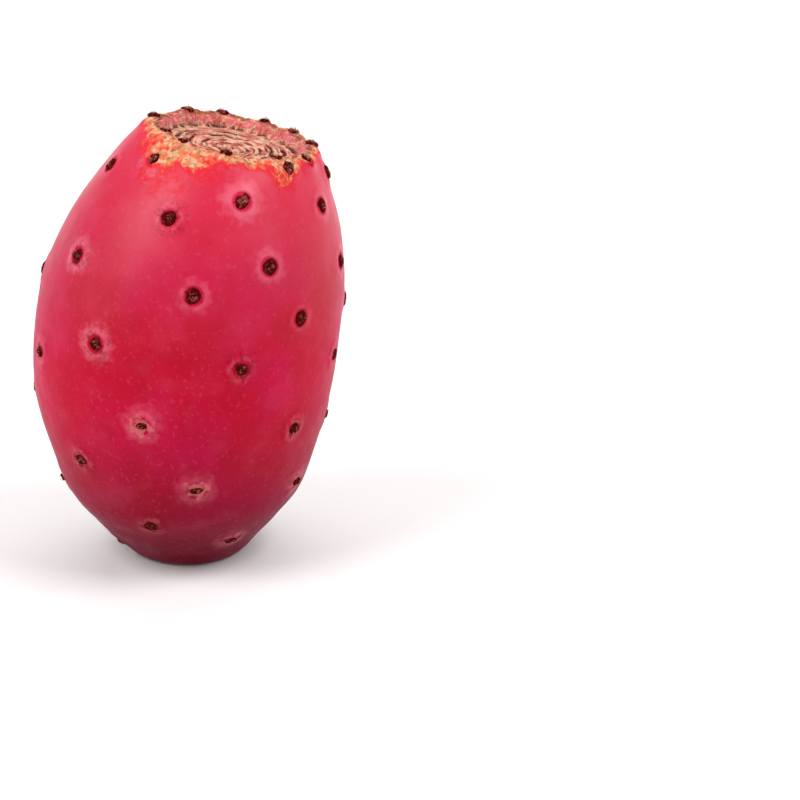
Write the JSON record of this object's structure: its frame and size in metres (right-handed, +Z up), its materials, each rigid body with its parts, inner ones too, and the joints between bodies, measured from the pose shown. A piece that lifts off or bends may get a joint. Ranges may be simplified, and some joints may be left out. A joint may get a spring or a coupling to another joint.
{
  "type": "prickly pear fruit",
  "caption": "Whole ripe prickly pear fruit: a barrel-shaped red body with dark bristly areoles and a shallow corky crown, standing on its flat stem scar.",
  "frame": {"origin": "centre of the flat stem scar that the fruit stands on", "axes": "+Z up along the fruit, from the stem scar towards the crown; the top leans towards +X; -Y is the front"},
  "size_m": [0.0563, 0.0554, 0.0805],
  "materials": {
    "skin": "satin waxy fruit skin, crimson, turning orange at the crown",
    "cork": "dry, rough, straw-coloured cork in rings",
    "areole": "short dark felt",
    "bristle": "thin straw-coloured bristles"
  },
  "bodies": {
    "root": {"prickly_pear": "skin"}
  },
  "joints": []
}
